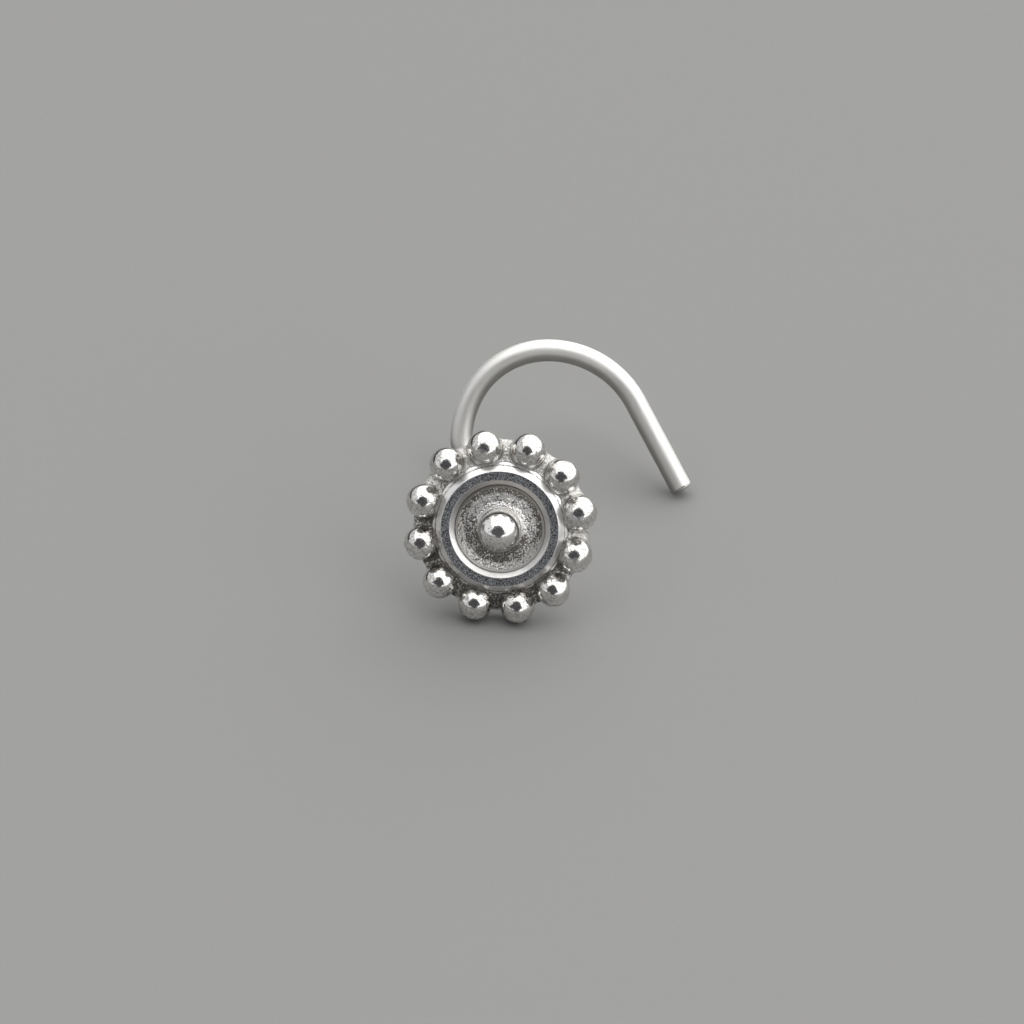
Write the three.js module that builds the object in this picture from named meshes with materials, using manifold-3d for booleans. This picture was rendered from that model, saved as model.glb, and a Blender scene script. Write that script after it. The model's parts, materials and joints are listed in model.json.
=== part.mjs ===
// A silver nose stud: a round granulated head on a wire that is bent into a nose-screw hook.
// Units are millimetres, +Z is up. The head and its wire are soldered, so they are one solid.
//
// The stud is made in the head's own frame and then stood on a table as it rests by itself:
//   x  to the right, as the face is seen
//   y  up along the face
//   z  out of the face, with z = 0 on the flat back

import * as THREE from 'three';
import { mergeVertices } from 'three/addons/utils/BufferGeometryUtils.js';
import Module from 'manifold-3d';

// Head plate: thin at its edge, with a bed for the granules that slopes up to the ring's ledge
const PLATE_RADIUS = 3.1;
const PLATE_EDGE_THICKNESS = 0.17;
const PLATE_CHAMFER = 0.06;
const BED_HEIGHT = 0.53;

// Granules on the rim of the plate, cut flat with its back
const GRANULE_CIRCLE_RADIUS = 2.9;
const GRANULE_HEIGHT = 0.5;
const GRANULE_START_DEG = 75;
const GRANULE_SEGMENTS = 16;
const GRANULE_RINGS = 12;

// Clockwise from the first granule right of the top. Each was set by hand, so it strays a little
// round the rim (degrees, counterclockwise) and outwards (mm). The two that carry the stud match.
const GRANULES = [
  { stray: -1.5, out: 0.08, radius: 0.62 },
  { stray: -1.2, out: 0.0, radius: 0.62 },
  { stray: -0.3, out: -0.03, radius: 0.63 },
  { stray: -1.8, out: -0.07, radius: 0.62 },
  { stray: -1.8, out: 0.02, radius: 0.61 },
  { stray: 0, out: 0.02, radius: 0.61 },
  { stray: 0, out: 0.02, radius: 0.61 },
  { stray: 1.0, out: 0.05, radius: 0.6 },
  { stray: 0.4, out: -0.01, radius: 0.6 },
  { stray: -0.5, out: -0.02, radius: 0.61 },
  { stray: -1.8, out: 0.06, radius: 0.6 },
  { stray: -1.0, out: 0.03, radius: 0.62 },
];

// Stepped ring: a narrow ledge at its foot, and a flat face between two bevels
const LEDGE_OUTER_RADIUS = 2.4;
const LEDGE_INNER_RADIUS = 2.3;
const LEDGE_HEIGHT = 0.62;
const LEDGE_DROP = 0.06;
const RING_OUTER_RADIUS = 2.28;
const RING_FACE_OUTER_RADIUS = 2.1;
const RING_FACE_INNER_RADIUS = 1.78;
const RING_INNER_RADIUS = 1.61;
const RING_FACE_HEIGHT = 0.8;
const RING_OUTER_BEVEL_DROP = 0.135;
const RING_INNER_BEVEL_DROP = 0.105;

// Dish: a trough that rises to a lip at the ring and, over its own rise, to a seat at the ball
const DISH_LIP_RADIUS = 1.58;
const DISH_LIP_HEIGHT = 0.67;
const DISH_GROOVE_HEIGHT = 0.64;
const DISH_TROUGH_OUTER_RADIUS = 1.27;
const DISH_TROUGH_INNER_RADIUS = 0.97;
const DISH_TROUGH_HEIGHT = 0.51;
const DISH_TROUGH_RISE = 0.05;
const DISH_STEPS = 4;
const SEAT_RADIUS = 0.775;
const SEAT_HEIGHT = 0.68;

// Centre ball
const BALL_RADIUS = 0.755;
const BALL_HEIGHT = 1.05;
const BALL_STEPS = 6;

const HEAD_SEGMENTS = 48;

// Wire
const WIRE_RADIUS = 0.4;
const WIRE_SIDES = 12;
const WIRE_STEPS = 72;
const WIRE_ROOT_DEPTH = 0.2;
const SOLDER_FILLET_RADIUS = 0.22;
const SOLDER_FILLET_STEPS = 3;

// The post runs straight back and bends sideways into the hook, whose plane lies HOOK_REACH behind
// the back. The hook turns clockwise through its bends and ends in a straight leg.
const HOOK_REACH = 7.0;
const POST_BEND_RADIUS = 1.3;
const POST_BEND_HEADING_DEG = 164;
const HOOK_BENDS = [
  { radius: 1.15, turn: 74 },
  { radius: 3.9, turn: 24 },
  { radius: 3.12, turn: 62 },
  { radius: 3.56, turn: 63 },
];
const LEG_LENGTH = 3.6;

// At rest the head leans back until the post's bend and the cut end of the hook touch the table.
const REST_LEAN_DEG = 23.79;

const SILVER = { color: 0xdcdbd7, roughness: 0.28, metalness: 1.0 };

const wasm = await Module();
wasm.setup();

const radians = THREE.MathUtils.degToRad;

/** Turns a closed geometry into a solid that can be joined and cut. */
function solidOf(geometry) {
  const plain = geometry.index ? geometry.toNonIndexed() : geometry.clone();
  plain.deleteAttribute('normal');
  plain.deleteAttribute('uv');
  const merged = mergeVertices(plain, 1e-5);
  const corners = merged.index.array;
  const triVerts = [];
  for (let i = 0; i < corners.length; i += 3) {
    const [a, b, c] = [corners[i], corners[i + 1], corners[i + 2]];
    if (a !== b && b !== c && c !== a) triVerts.push(a, b, c);
  }
  return new wasm.Manifold(new wasm.Mesh({
    numProp: 3,
    vertProperties: new Float32Array(merged.attributes.position.array),
    triVerts: new Uint32Array(triVerts),
  }));
}

function geometryOf(solid) {
  const mesh = solid.getMesh();
  const geometry = new THREE.BufferGeometry();
  geometry.setAttribute('position', new THREE.BufferAttribute(mesh.vertProperties, 3));
  geometry.setIndex(new THREE.BufferAttribute(mesh.triVerts, 1));
  geometry.computeVertexNormals();
  return geometry;
}

/** The dish floor from the lip in to the seat: two cosine slopes with the trough between. */
function dishFloor() {
  const slope = (fromR, fromZ, toR, toZ) => {
    const points = [];
    for (let i = 0; i <= DISH_STEPS; i += 1) {
      const share = i / DISH_STEPS;
      const ease = (1 - Math.cos(Math.PI * share)) / 2;
      points.push([fromR + (toR - fromR) * share, fromZ + (toZ - fromZ) * ease]);
    }
    return points;
  };
  return [
    ...slope(DISH_LIP_RADIUS, DISH_LIP_HEIGHT, DISH_TROUGH_OUTER_RADIUS, DISH_TROUGH_HEIGHT),
    ...slope(DISH_TROUGH_INNER_RADIUS, DISH_TROUGH_HEIGHT + DISH_TROUGH_RISE, SEAT_RADIUS, SEAT_HEIGHT),
  ];
}

/** The ball's outline from the seat up to its top on the axis. */
function ballOutline() {
  const seatAngle = Math.asin((SEAT_HEIGHT - BALL_HEIGHT) / BALL_RADIUS);
  const points = [];
  for (let i = 0; i <= BALL_STEPS; i += 1) {
    const angle = THREE.MathUtils.lerp(seatAngle, Math.PI / 2, i / BALL_STEPS);
    const radius = i === BALL_STEPS ? 0 : BALL_RADIUS * Math.cos(angle);
    points.push([radius, BALL_HEIGHT + BALL_RADIUS * Math.sin(angle)]);
  }
  return points;
}

/** Plate, ring, dish and ball are all round about one axis: [radius, height] pairs, back to front. */
function turnedHead() {
  const outline = [
    [0, 0],
    [PLATE_RADIUS - PLATE_CHAMFER, 0],
    [PLATE_RADIUS, PLATE_CHAMFER],
    [PLATE_RADIUS, PLATE_EDGE_THICKNESS],
    [LEDGE_OUTER_RADIUS, BED_HEIGHT],
    [LEDGE_OUTER_RADIUS, LEDGE_HEIGHT - LEDGE_DROP],
    [LEDGE_INNER_RADIUS, LEDGE_HEIGHT],
    [RING_OUTER_RADIUS, LEDGE_HEIGHT],
    [RING_OUTER_RADIUS, RING_FACE_HEIGHT - RING_OUTER_BEVEL_DROP],
    [RING_FACE_OUTER_RADIUS, RING_FACE_HEIGHT],
    [RING_FACE_INNER_RADIUS, RING_FACE_HEIGHT],
    [RING_INNER_RADIUS, RING_FACE_HEIGHT - RING_INNER_BEVEL_DROP],
    [RING_INNER_RADIUS, DISH_GROOVE_HEIGHT],
    [DISH_LIP_RADIUS, DISH_GROOVE_HEIGHT],
    ...dishFloor(),
    ...ballOutline(),
  ];
  const profile = outline.map(([radius, height]) => new THREE.Vector2(radius, height));
  const geometry = new THREE.LatheGeometry(profile, HEAD_SEGMENTS);
  geometry.rotateX(Math.PI / 2);
  return solidOf(geometry);
}

/** The granules in their places, whole balls, some of which reach behind the plate. */
function granules() {
  return GRANULES.map(({ stray, out, radius }, index) => {
    const step = 360 / GRANULES.length;
    const angle = radians(GRANULE_START_DEG - index * step + stray);
    const reach = GRANULE_CIRCLE_RADIUS + out;
    const geometry = new THREE.SphereGeometry(radius, GRANULE_SEGMENTS, GRANULE_RINGS);
    geometry.rotateX(Math.PI / 2);
    geometry.translate(reach * Math.cos(angle), reach * Math.sin(angle), GRANULE_HEIGHT);
    return solidOf(geometry);
  });
}

/** What is filed off the granules to make the back flat. */
function spaceBehindBack() {
  const width = 4 * PLATE_RADIUS;
  const depth = 2 * GRANULE_HEIGHT;
  const geometry = new THREE.BoxGeometry(width, width, depth);
  geometry.translate(0, 0, -depth / 2);
  return solidOf(geometry);
}

/** A round bend of the wire's centre line, turning by an angle about an axis. */
class BendCurve extends THREE.Curve {
  constructor(centre, spoke, axis, angle) {
    super();
    this.centre = centre;
    this.spoke = spoke;
    this.axis = axis;
    this.angle = angle;
  }

  getPoint(t, target = new THREE.Vector3()) {
    return target.copy(this.spoke).applyAxisAngle(this.axis, this.angle * t).add(this.centre);
  }
}

/** The wire's centre line: straight back from the head, round the post bend, round the hook. */
function wireRoute() {
  const route = new THREE.CurvePath();
  const at = new THREE.Vector3(0, 0, WIRE_ROOT_DEPTH);
  const heading = new THREE.Vector3(0, 0, -1);

  const straight = (length) => {
    const start = at.clone();
    at.addScaledVector(heading, length);
    route.add(new THREE.LineCurve3(start, at.clone()));
  };
  const bend = (radius, degrees, axis) => {
    const inward = new THREE.Vector3().crossVectors(axis, heading);
    const centre = at.clone().addScaledVector(inward, radius);
    const curve = new BendCurve(centre, at.clone().sub(centre), axis, radians(degrees));
    route.add(curve);
    curve.getPoint(1, at);
    heading.applyAxisAngle(axis, radians(degrees));
  };

  const bendHeading = radians(POST_BEND_HEADING_DEG);
  const postBendAxis = new THREE.Vector3(Math.sin(bendHeading), -Math.cos(bendHeading), 0);
  const hookAxis = new THREE.Vector3(0, 0, -1);
  straight(WIRE_ROOT_DEPTH + HOOK_REACH - POST_BEND_RADIUS);
  bend(POST_BEND_RADIUS, 90, postBendAxis);
  for (const { radius, turn } of HOOK_BENDS) bend(radius, turn, hookAxis);
  straight(LEG_LENGTH);
  return route;
}

function wire() {
  const section = new THREE.Shape();
  for (let i = 0; i < WIRE_SIDES; i += 1) {
    const angle = (2 * Math.PI * i) / WIRE_SIDES;
    const [x, y] = [WIRE_RADIUS * Math.cos(angle), WIRE_RADIUS * Math.sin(angle)];
    if (i === 0) section.moveTo(x, y);
    else section.lineTo(x, y);
  }
  section.closePath();
  return solidOf(new THREE.ExtrudeGeometry(section, {
    steps: WIRE_STEPS,
    extrudePath: wireRoute(),
  }));
}

/** The hollow flare of solder round the post where it leaves the back. */
function solderFillet() {
  const edge = WIRE_RADIUS + SOLDER_FILLET_RADIUS;
  const profile = [new THREE.Vector2(0, -SOLDER_FILLET_RADIUS)];
  for (let i = 0; i <= SOLDER_FILLET_STEPS; i += 1) {
    const angle = (Math.PI / 2) * (i / SOLDER_FILLET_STEPS);
    profile.push(new THREE.Vector2(
      edge - SOLDER_FILLET_RADIUS * Math.cos(angle),
      SOLDER_FILLET_RADIUS * (Math.sin(angle) - 1),
    ));
  }
  profile.push(new THREE.Vector2(edge, WIRE_ROOT_DEPTH));
  profile.push(new THREE.Vector2(0, WIRE_ROOT_DEPTH));
  const geometry = new THREE.LatheGeometry(profile, 2 * WIRE_SIDES);
  geometry.rotateX(Math.PI / 2);
  return solidOf(geometry);
}

function noseStud() {
  let stud = turnedHead();
  for (const granule of granules()) stud = stud.add(granule);
  stud = stud.subtract(spaceBehindBack());
  stud = stud.add(solderFillet()).add(wire());
  const mesh = new THREE.Mesh(geometryOf(stud), new THREE.MeshStandardMaterial(SILVER));
  mesh.name = 'nose_stud';
  return mesh;
}

/** Stands a group on z = 0 with the middle of its footprint at the origin. */
function standOnOrigin(group) {
  group.updateMatrixWorld(true);
  const box = new THREE.Box3().setFromObject(group, true);
  const middle = box.getCenter(new THREE.Vector3());
  group.position.set(-middle.x, -middle.y, -box.min.z);
}

const leaning = new THREE.Group();
leaning.rotation.x = Math.PI / 2 - radians(REST_LEAN_DEG);
leaning.add(noseStud());

const noseStudAtRest = new THREE.Group();
noseStudAtRest.add(leaning);
standOnOrigin(noseStudAtRest);

export default noseStudAtRest;
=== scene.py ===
"""A silver nose stud: a granulated head on a wire that is bent into a nose-screw hook.

The stud is made of five pieces: the granulated plate, the stepped ring, the dish, the centre ball
and the nose-screw wire. Every size is in metres. A piece is worked out in the head's own frame,
with x to the right and y up along the face and z out of it, measured from the middle of the flat
back, and is then stood on the table as the stud rests by itself.
"""

import json
import math

import bmesh
import bpy
import numpy as np
from bpy.props import FloatProperty, FloatVectorProperty, PointerProperty
from mathutils import Matrix, Vector, noise


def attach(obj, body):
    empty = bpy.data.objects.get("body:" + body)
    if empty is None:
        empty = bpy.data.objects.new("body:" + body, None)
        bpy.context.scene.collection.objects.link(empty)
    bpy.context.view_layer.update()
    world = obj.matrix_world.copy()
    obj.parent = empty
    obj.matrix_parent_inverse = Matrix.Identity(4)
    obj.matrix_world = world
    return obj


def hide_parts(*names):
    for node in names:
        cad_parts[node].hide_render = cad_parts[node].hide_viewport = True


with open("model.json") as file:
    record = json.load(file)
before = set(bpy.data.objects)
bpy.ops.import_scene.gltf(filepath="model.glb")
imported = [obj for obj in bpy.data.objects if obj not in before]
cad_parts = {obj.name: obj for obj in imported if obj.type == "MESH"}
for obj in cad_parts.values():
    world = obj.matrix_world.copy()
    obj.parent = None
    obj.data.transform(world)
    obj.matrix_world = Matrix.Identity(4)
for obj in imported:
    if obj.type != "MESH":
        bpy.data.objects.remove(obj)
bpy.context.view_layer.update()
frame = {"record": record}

bl_info = {
    "name": "Granulated Nose Stud",
    "version": (1, 0, 0),
    "blender": (4, 5, 0),
    "location": "3D View > Sidebar > Nose Stud",
    "description": "Makes a granulated silver nose stud on its nose-screw wire, and a studio",
    "category": "Object",
}

MM = 0.001

# The record's mount on the flat back, and how far up the face it is from the back's middle
BACK_MOUNT = frame["record"]["mounts"][0]
MOUNT_ABOVE_CENTRE = 1.8 * MM

# How near the flat back the ring and the dish reach, out of sight inside the plate
HIDDEN_FOOT = 0.3 * MM


# --- The stud's charts ---------------------------------------------------------------------------

# Clockwise from the first granule right of the top. Each was set by hand, so it strays a little
# round the rim (degrees, counterclockwise) and outwards (mm); radius is in mm.
GRANULE_START = math.radians(75)
GRANULES = (
    {"stray": -1.5, "out": 0.08, "radius": 0.62},
    {"stray": -1.2, "out": 0.0, "radius": 0.62},
    {"stray": -0.3, "out": -0.03, "radius": 0.63},
    {"stray": -1.8, "out": -0.07, "radius": 0.62},
    {"stray": -1.8, "out": 0.02, "radius": 0.61},
    {"stray": 0.0, "out": 0.02, "radius": 0.61},
    {"stray": 0.0, "out": 0.02, "radius": 0.61},
    {"stray": 1.0, "out": 0.05, "radius": 0.6},
    {"stray": 0.4, "out": -0.01, "radius": 0.6},
    {"stray": -0.5, "out": -0.02, "radius": 0.61},
    {"stray": -1.8, "out": 0.06, "radius": 0.6},
    {"stray": -1.0, "out": 0.03, "radius": 0.62},
)

# Dents in the granules. Right and up are shares of the granule's radius from its middle, as the
# face is seen. Reach, from the dent's middle to its edge, and depth are in mm.
DENTS = (
    {"granule": 1, "right": 0.3, "up": -0.45, "reach": 0.2, "depth": 0.012},
    {"granule": 2, "right": -0.5, "up": 0.17, "reach": 0.22, "depth": 0.022},
    {"granule": 2, "right": 0.1, "up": -0.2, "reach": 0.24, "depth": 0.014},
    {"granule": 3, "right": 0.1, "up": -0.14, "reach": 0.25, "depth": 0.03},
    {"granule": 3, "right": -0.55, "up": 0.4, "reach": 0.16, "depth": 0.014},
    {"granule": 4, "right": 0.2, "up": 0.62, "reach": 0.15, "depth": 0.012},
    {"granule": 5, "right": -0.35, "up": 0.6, "reach": 0.16, "depth": 0.014},
    {"granule": 8, "right": 0.5, "up": 0.1, "reach": 0.16, "depth": 0.014},
    {"granule": 9, "right": 0.45, "up": 0.25, "reach": 0.15, "depth": 0.012},
    {"granule": 11, "right": -0.1, "up": -0.2, "reach": 0.35, "depth": 0.02},
)

# The bends of the hook after the post: radius in mm and how far each turns, in degrees.
HOOK_BENDS = (
    {"radius": 1.15, "turn": 74},
    {"radius": 3.9, "turn": 24},
    {"radius": 3.12, "turn": 62},
    {"radius": 3.56, "turn": 63},
)

# Which way the painted light comes from, in the head's frame: across the face for the rim,
# whose patina gets painted shade on the far side, and nearer to upright for the dish, whose
# grain is painted brighter where it faces this way.
CLOTH_SIDE = (0.35, 0.87)
DISH_CLOTH_WAY = (0.25, 0.9, 0.34)

# Tints of wear: smears on the polished silver and on the ring's bevels, the dark dots of the
# ring's satin face, and smears and nicks on the wire; between these two, the painted shade of
# the wire's underside.
SMEARED_SILVER = (0.66, 0.645, 0.62)
SMEARED_BEVEL = (0.62, 0.6, 0.58)
FACE_DOTS = (0.1, 0.1, 0.11)
SMEARED_WIRE = (0.74, 0.73, 0.71)
TARNISHED_WIRE = (0.36, 0.353, 0.338)
NICKED_WIRE = (0.5, 0.49, 0.48)


# --- Sizes and colours that a user may change ----------------------------------------------------


def length(name, description, default_mm):
    return FloatProperty(
        name=name, description=description, default=default_mm * MM, min=0.0,
        precision=5, subtype="DISTANCE", unit="LENGTH",
    )


def angle(name, description, default_degrees):
    return FloatProperty(
        name=name, description=description, default=math.radians(default_degrees),
        subtype="ANGLE", unit="ROTATION",
    )


def colour(name, description, default):
    return FloatVectorProperty(
        name=name, description=description, default=default, min=0.0, max=1.0,
        size=3, subtype="COLOR",
    )


class NoseStudPlate(bpy.types.PropertyGroup):
    radius: length("Plate radius", "Radius of the flat plate that carries the head", 3.1)
    thickness: length("Rim thickness", "Thickness of the plate at its edge", 0.17)
    foot: length("Bed height", "Height of the sloping bed where it meets the ledge", 0.53)
    edge: length("Plate edge", "Rounding of the plate's edge", 0.06)
    circle: length("Granule circle", "Radius of the circle that the granules stand on", 2.9)
    height: length("Granule height", "Height of the granules' centres over the flat back", 0.5)
    solder: length("Solder fillet", "How wide the solder runs in the corners", 0.26)
    unevenness: length("Unevenness", "How far the hand-worked skin strays", 0.015)


class NoseStudRing(bpy.types.PropertyGroup):
    outer: length("Outer radius", "Outer radius of the ring", 2.28)
    face_outer: length("Face outer radius", "Where the flat face meets the outer bevel", 2.1)
    face_inner: length("Face inner radius", "Where the flat face meets the inner bevel", 1.78)
    inner: length("Inner radius", "Inner radius of the ring", 1.61)
    height: length("Face height", "Height of the flat face over the back", 0.8)
    outer_drop: length("Outer bevel drop", "How far the outer bevel falls", 0.135)
    inner_drop: length("Inner bevel drop", "How far the inner bevel falls", 0.105)
    ledge_outer: length("Ledge outer radius", "Outer radius of the ledge at the ring's foot", 2.4)
    ledge_inner: length("Ledge inner radius", "Where the ledge starts to fall", 2.302)
    ledge_height: length("Ledge height", "Height of the ledge beside the ring", 0.62)
    ledge_drop: length("Ledge drop", "How far the ledge falls", 0.06)
    edge: length("Edge", "Rounding of the ring's edges", 0.014)


class NoseStudDish(bpy.types.PropertyGroup):
    lip: length("Lip radius", "Radius of the lip beside the ring", 1.585)
    lip_height: length("Lip height", "Height of the lip over the back", 0.67)
    groove_height: length("Groove height", "Height of the groove between lip and ring", 0.645)
    trough_outer: length("Trough outer radius", "Outer radius of the sloping trough", 1.27)
    trough_inner: length("Trough inner radius", "Inner radius of the sloping trough", 0.97)
    trough_height: length("Trough height", "Height of the trough's outer edge", 0.51)
    trough_rise: length("Trough rise", "How much higher the trough's inner edge is", 0.05)
    seat: length("Seat radius", "Radius of the raised seat under the ball", 0.775)
    seat_height: length("Seat height", "Height of the seat over the back", 0.68)
    grain: length("Grain", "Spacing of the blasted grain", 0.074)
    grain_height: length("Grain height", "How far the grain stands up", 0.026)


class NoseStudBall(bpy.types.PropertyGroup):
    radius: length("Ball radius", "Radius of the centre ball", 0.755)
    height: length("Ball height", "Height of the ball's centre over the back", 1.05)
    solder: length("Solder fillet", "How wide the solder runs round the ball's foot", 0.015)
    unevenness: length("Unevenness", "How far the hand-worked skin strays", 0.006)


class NoseStudWire(bpy.types.PropertyGroup):
    radius: length("Wire radius", "Radius of the 20 gauge wire", 0.4)
    reach: length("Hook reach", "Distance from the flat back to the plane of the hook", 7.0)
    bend: length("Post bend", "Radius of the bend from the post into the hook", 1.3)
    heading: angle("Hook heading", "Where the post bends to, as the face is seen", 164)
    leg: length("Leg", "Length of the straight leg at the end of the hook", 3.6)
    flare: length("Solder flare", "Radius of the solder flare at the post's root", 0.22)
    cut_edge: length("Cut edge", "Rounding of the cut end", 0.1)


class NoseStudFinish(bpy.types.PropertyGroup):
    silver: colour("Polished silver", "Colour of the polished silver", (0.87, 0.863, 0.848))
    satin: colour("Satin silver", "Colour of the satin wire", (0.9, 0.895, 0.875))
    face: colour("Ring face", "Colour of the ring's satin face", (0.86, 0.88, 0.91))
    # Painted shade: the colour laid on the sides that face down at rest.
    tarnish: colour("Tarnish", "Colour of the sides that no cloth reaches", (0.59, 0.577, 0.555))
    # The patina colour is also the colour of painted shade: on the head's shaded side, on the
    # ring's inner bevel and at the top of the dish's lip.
    patina: colour("Patina", "Colour of the dark patina in the corners", (0.19, 0.178, 0.165))
    dish: colour("Dish", "Colour of the dish's worn grain", (0.88, 0.87, 0.85))


class NoseStudStudio(bpy.types.PropertyGroup):
    floor: colour("Floor", "Colour of the plain floor", (0.245, 0.245, 0.242))
    backdrop: colour("Backdrop", "Colour behind the floor", (0.4, 0.4, 0.4))
    azimuth: angle("Camera azimuth", "Where the camera stands round the stud", 4.41)
    elevation: angle("Camera elevation", "How high the camera stands", 37.26)
    roll: angle("Camera roll", "How far the camera is rolled", 1.34)
    distance: length("Camera distance", "Distance from the camera to the head", 250)
    lens: FloatProperty(
        name="Lens", description="Focal length on a 36 mm sensor, in millimetres",
        default=248.3, unit="CAMERA",
    )


class NoseStudSettings(bpy.types.PropertyGroup):
    plate: PointerProperty(type=NoseStudPlate)
    ring: PointerProperty(type=NoseStudRing)
    dish: PointerProperty(type=NoseStudDish)
    ball: PointerProperty(type=NoseStudBall)
    wire: PointerProperty(type=NoseStudWire)
    finish: PointerProperty(type=NoseStudFinish)
    studio: PointerProperty(type=NoseStudStudio)


# --- Standing pieces on the table ----------------------------------------------------------------


def head_at_rest():
    """The matrix that takes a point of the head's own frame to where the stud rests."""
    out_of_face = -Vector(BACK_MOUNT["axis"]).normalized()
    across = Vector((1, 0, 0))
    up_face = out_of_face.cross(across)
    centre = Vector(BACK_MOUNT["pos_m"]) - up_face * MOUNT_ABOVE_CENTRE
    matrix = Matrix((across, up_face, out_of_face)).transposed().to_4x4()
    matrix.translation = centre
    return matrix


def fresh_object(name, data):
    """A new object in the scene, in place of an older one with its name."""
    older = bpy.data.objects.get(name)
    if older is not None:
        bpy.data.objects.remove(older)
    made = bpy.data.objects.new(name, data)
    bpy.context.scene.collection.objects.link(made)
    return made


def stand_piece(name, mesh, finish):
    """Stands a mesh made in the head's frame on the table, as a piece of the stud."""
    mesh.transform(head_at_rest())
    mesh.materials.append(finish)
    mesh.shade_smooth()
    mesh.update()
    piece = fresh_object(name, mesh)
    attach(piece, "root")
    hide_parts("nose_stud")
    return piece


# --- Finishes ------------------------------------------------------------------------------------


class Bench:
    """A node tree being laid out. Sizes on it are in millimetres."""

    def __init__(self, tree):
        tree.nodes.clear()
        self.tree = tree

    def add(self, kind, inputs=None, **settings):
        node = self.tree.nodes.new("ShaderNode" + kind)
        for name, value in settings.items():
            setattr(node, name, value)
        for key, value in (inputs or {}).items():
            if isinstance(value, bpy.types.NodeSocket):
                self.tree.links.new(value, node.inputs[key])
            else:
                node.inputs[key].default_value = value
        return node

    def in_millimetres(self, place):
        inputs = {0: place, "Scale": 1 / MM}
        return self.add("VectorMath", inputs, operation="SCALE").outputs["Vector"]

    def place(self):
        """Where a point of the piece is, in millimetres."""
        return self.in_millimetres(self.add("TexCoord").outputs["Object"])

    def kept(self, name, output="Fac"):
        """A number that the mesh keeps for each point, or with the output Vector a place."""
        return self.add("Attribute", attribute_name=name).outputs[output]

    def math(self, operation, *values):
        return self.add("Math", dict(enumerate(values)), operation=operation).outputs["Value"]

    def plus(self, first, *others):
        for other in others:
            first = self.math("ADD", first, other)
        return first

    def times(self, first, *others):
        for other in others:
            first = self.math("MULTIPLY", first, other)
        return first

    def clouds(self, place, size, detail=2.0):
        inputs = {"Vector": place, "Scale": 1 / size, "Detail": detail}
        return self.add("TexNoise", inputs).outputs["Fac"]

    def ramp(self, value, low, high, first=0.0, last=1.0):
        """Eases from first to last while value goes from low to high."""
        inputs = {0: value, 1: low, 2: high, 3: first, 4: last}
        return self.add("MapRange", inputs, interpolation_type="SMOOTHSTEP").outputs["Result"]

    def blend(self, amount, first, second):
        """A colour between two, each a socket or an (r, g, b)."""
        first, second = (
            side if isinstance(side, bpy.types.NodeSocket) else (*side, 1.0)
            for side in (first, second)
        )
        node = self.add("Mix", {0: amount, 6: first, 7: second}, data_type="RGBA")
        return node.outputs[2]

    def stretched(self, place, turn, stretch):
        """The place turned and then measured in steps of stretch, one for each axis."""
        scale = tuple(1 / size for size in stretch)
        inputs = {"Vector": place, "Rotation": turn, "Scale": scale}
        turned = self.add("Mapping", inputs, vector_type="POINT")
        return turned.outputs["Vector"]

    def scratches(self, place, turn, run, gap, width):
        """1 along fine scratches, 0 between them."""
        lines = self.clouds(self.stretched(place, turn, (run, gap, gap)), 1.0, 0.0)
        off_line = self.math("ABSOLUTE", self.math("SUBTRACT", lines, 0.5))
        return self.ramp(off_line, 0.0, width, 1.0, 0.0)

    def bump(self, height):
        """A normal from a height in millimetres."""
        return self.add("Bump", {"Height": height, "Distance": MM}).outputs["Normal"]


def metal(name, lay_out):
    """A metal finish, from a function that gives its colour, roughness and normal on a bench."""
    made = bpy.data.materials.get(name) or bpy.data.materials.new(name)
    made.use_nodes = True
    bench = Bench(made.node_tree)
    tint, roughness, normal = lay_out(bench)
    inputs = {"Base Color": tint, "Roughness": roughness, "Normal": normal, "Metallic": 1.0}
    shader = bench.add("BsdfPrincipled", inputs)
    bench.add("OutputMaterial", {"Surface": shader.outputs["BSDF"]})
    return made


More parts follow.
